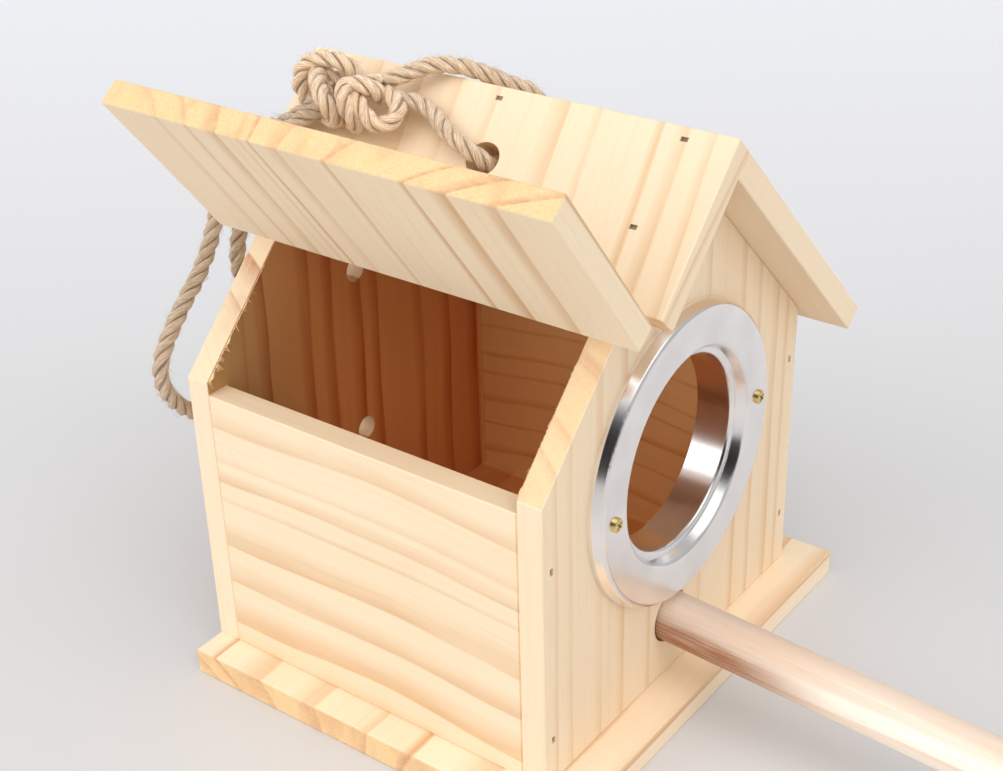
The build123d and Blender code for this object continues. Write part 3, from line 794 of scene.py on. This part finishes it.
def splinters(name, y_edge, inward, count, seed):
    """Loose slivers that hang over the same edge, pointing into the chamber."""
    draw = random.Random(seed)
    points, faces = [], []
    for _ in range(count):
        x = draw.choice((draw.uniform(-59.5, -53.5), draw.uniform(-59.5, -37.0))) * MM
        root = Vector((x, y_edge - inward * 0.2 * MM, roof_in + x - draw.uniform(0.15, 0.5) * MM))
        heading = Vector((draw.uniform(-0.5, 0.5), inward * draw.uniform(0.5, 1.0), draw.uniform(-0.9, -0.2)))
        heading.normalize()
        side = heading.cross(X).normalized()
        length, width = draw.uniform(0.8, 2.4) * MM, draw.uniform(0.10, 0.28) * MM
        faces += skin(4, 4, len(points))
        for step in range(4):
            t = step / 3
            middle = root + heading * length * t + side * 0.25 * length * t * t
            for k in range(4):
                a = math.pi / 2 * k
                swing = X * math.cos(a) * width + side * math.sin(a) * width * 0.35
                points.append(middle + swing * (1.0 - 0.85 * t))
    slivers = new_mesh(name, points, faces, smooth=False)
    finish_piece(slivers, torn_pine, "house")


torn_edge("front_torn_edge", -gable_in, 1, 2.0)
torn_edge("back_torn_edge", gable_in, -1, 9.0)
splinters("front_splinters", -gable_in, 1, 34, 3)
splinters("back_splinters", gable_in, -1, 26, 4)


# ---- stage: floor, light --------------------------------------------------------------------
FLOOR_SIZE = 18.0


def add_floor():
    """A wide pale floor, with painted light that makes it a little lighter towards its far side."""
    half = FLOOR_SIZE / 2
    corners = [(-half, -half, 0), (half, -half, 0), (half, half, 0), (-half, half, 0)]
    floor = new_mesh("floor", corners, [(0, 1, 2, 3)])
    tree = Tree("floor")
    place = tree.coordinates()
    # Painted light: the floor is lighter and a little bluer towards its far side.
    far_light = tree.spread(tree.dot(place, Vector((0.8, 0.6, 0))), -0.35, 0.95)
    colour = tree.mix(far_light, rgb(210, 208, 207), rgb(232, 233, 237))
    cloud = tree.noise(place, scale=1.4, detail=1.0)
    colour = tree.mix(tree.spread(cloud, 0.3, 0.7, 0.0, 0.12), colour, rgb(236, 234, 234))
    floor.data.materials.append(tree.set(Base_Color=colour, Roughness=0.6, Specular_IOR_Level=0.2))


def add_sun(name, come_from, strength, spread):
    """A broad, soft light from one direction, which polished metal doesn't mirror."""
    lamp = bpy.data.lights.new(name, "SUN")
    lamp.energy = strength
    lamp.angle = math.radians(spread)
    light = bpy.data.objects.new(name, lamp)
    light.visible_glossy = False
    light.rotation_euler = Vector(come_from).to_track_quat("Z", "Y").to_euler()
    bpy.context.scene.collection.objects.link(light)


ROOM = (0.83, 0.845, 0.88, 1)
ROOM_STRENGTH = 0.59
PATCHES = (      # direction, cosines of the angles where the patch starts and is full, colour
    ((-0.05, -0.3, 0.95), 0.84, 0.93, (2.4, 2.4, 2.4, 1)),
    ((-0.77, 0.53, 0.30), 0.80, 0.93, (3.2, 3.2, 3.2, 1)),
    ((-0.84, -0.44, 0.32), 0.86, 0.95, (0.02, 0.018, 0.018, 1)),
    ((-0.52, -0.82, 0.16), 0.945, 0.99, (0.03, 0.028, 0.028, 1)),
)


def add_world():
    """A pale room with a bright ceiling and a bright window, and dark where people stand."""
    world = bpy.data.worlds.new("room")
    bpy.context.scene.world = world
    tree = Tree("room", world)
    direction = tree.coordinates("Generated")
    colour = ROOM
    for toward, low, high, patch in PATCHES:
        near = tree.spread(tree.dot(direction, Vector(toward).normalized()), low, high)
        colour = tree.mix(near, colour, patch)
    background = tree.nodes["Background"]
    tree.put(background.inputs["Color"], colour)
    background.inputs["Strength"].default_value = ROOM_STRENGTH


add_floor()
add_sun("top_light", (-0.45, -0.35, 1.0), 0.68, 70)
add_sun("left_light", (-1.0, -0.05, 0.42), 0.62, 60)
add_sun("front_light", (-0.25, -1.0, 0.45), 0.78, 60)
add_world()
bpy.context.scene.view_settings.view_transform = "Standard"
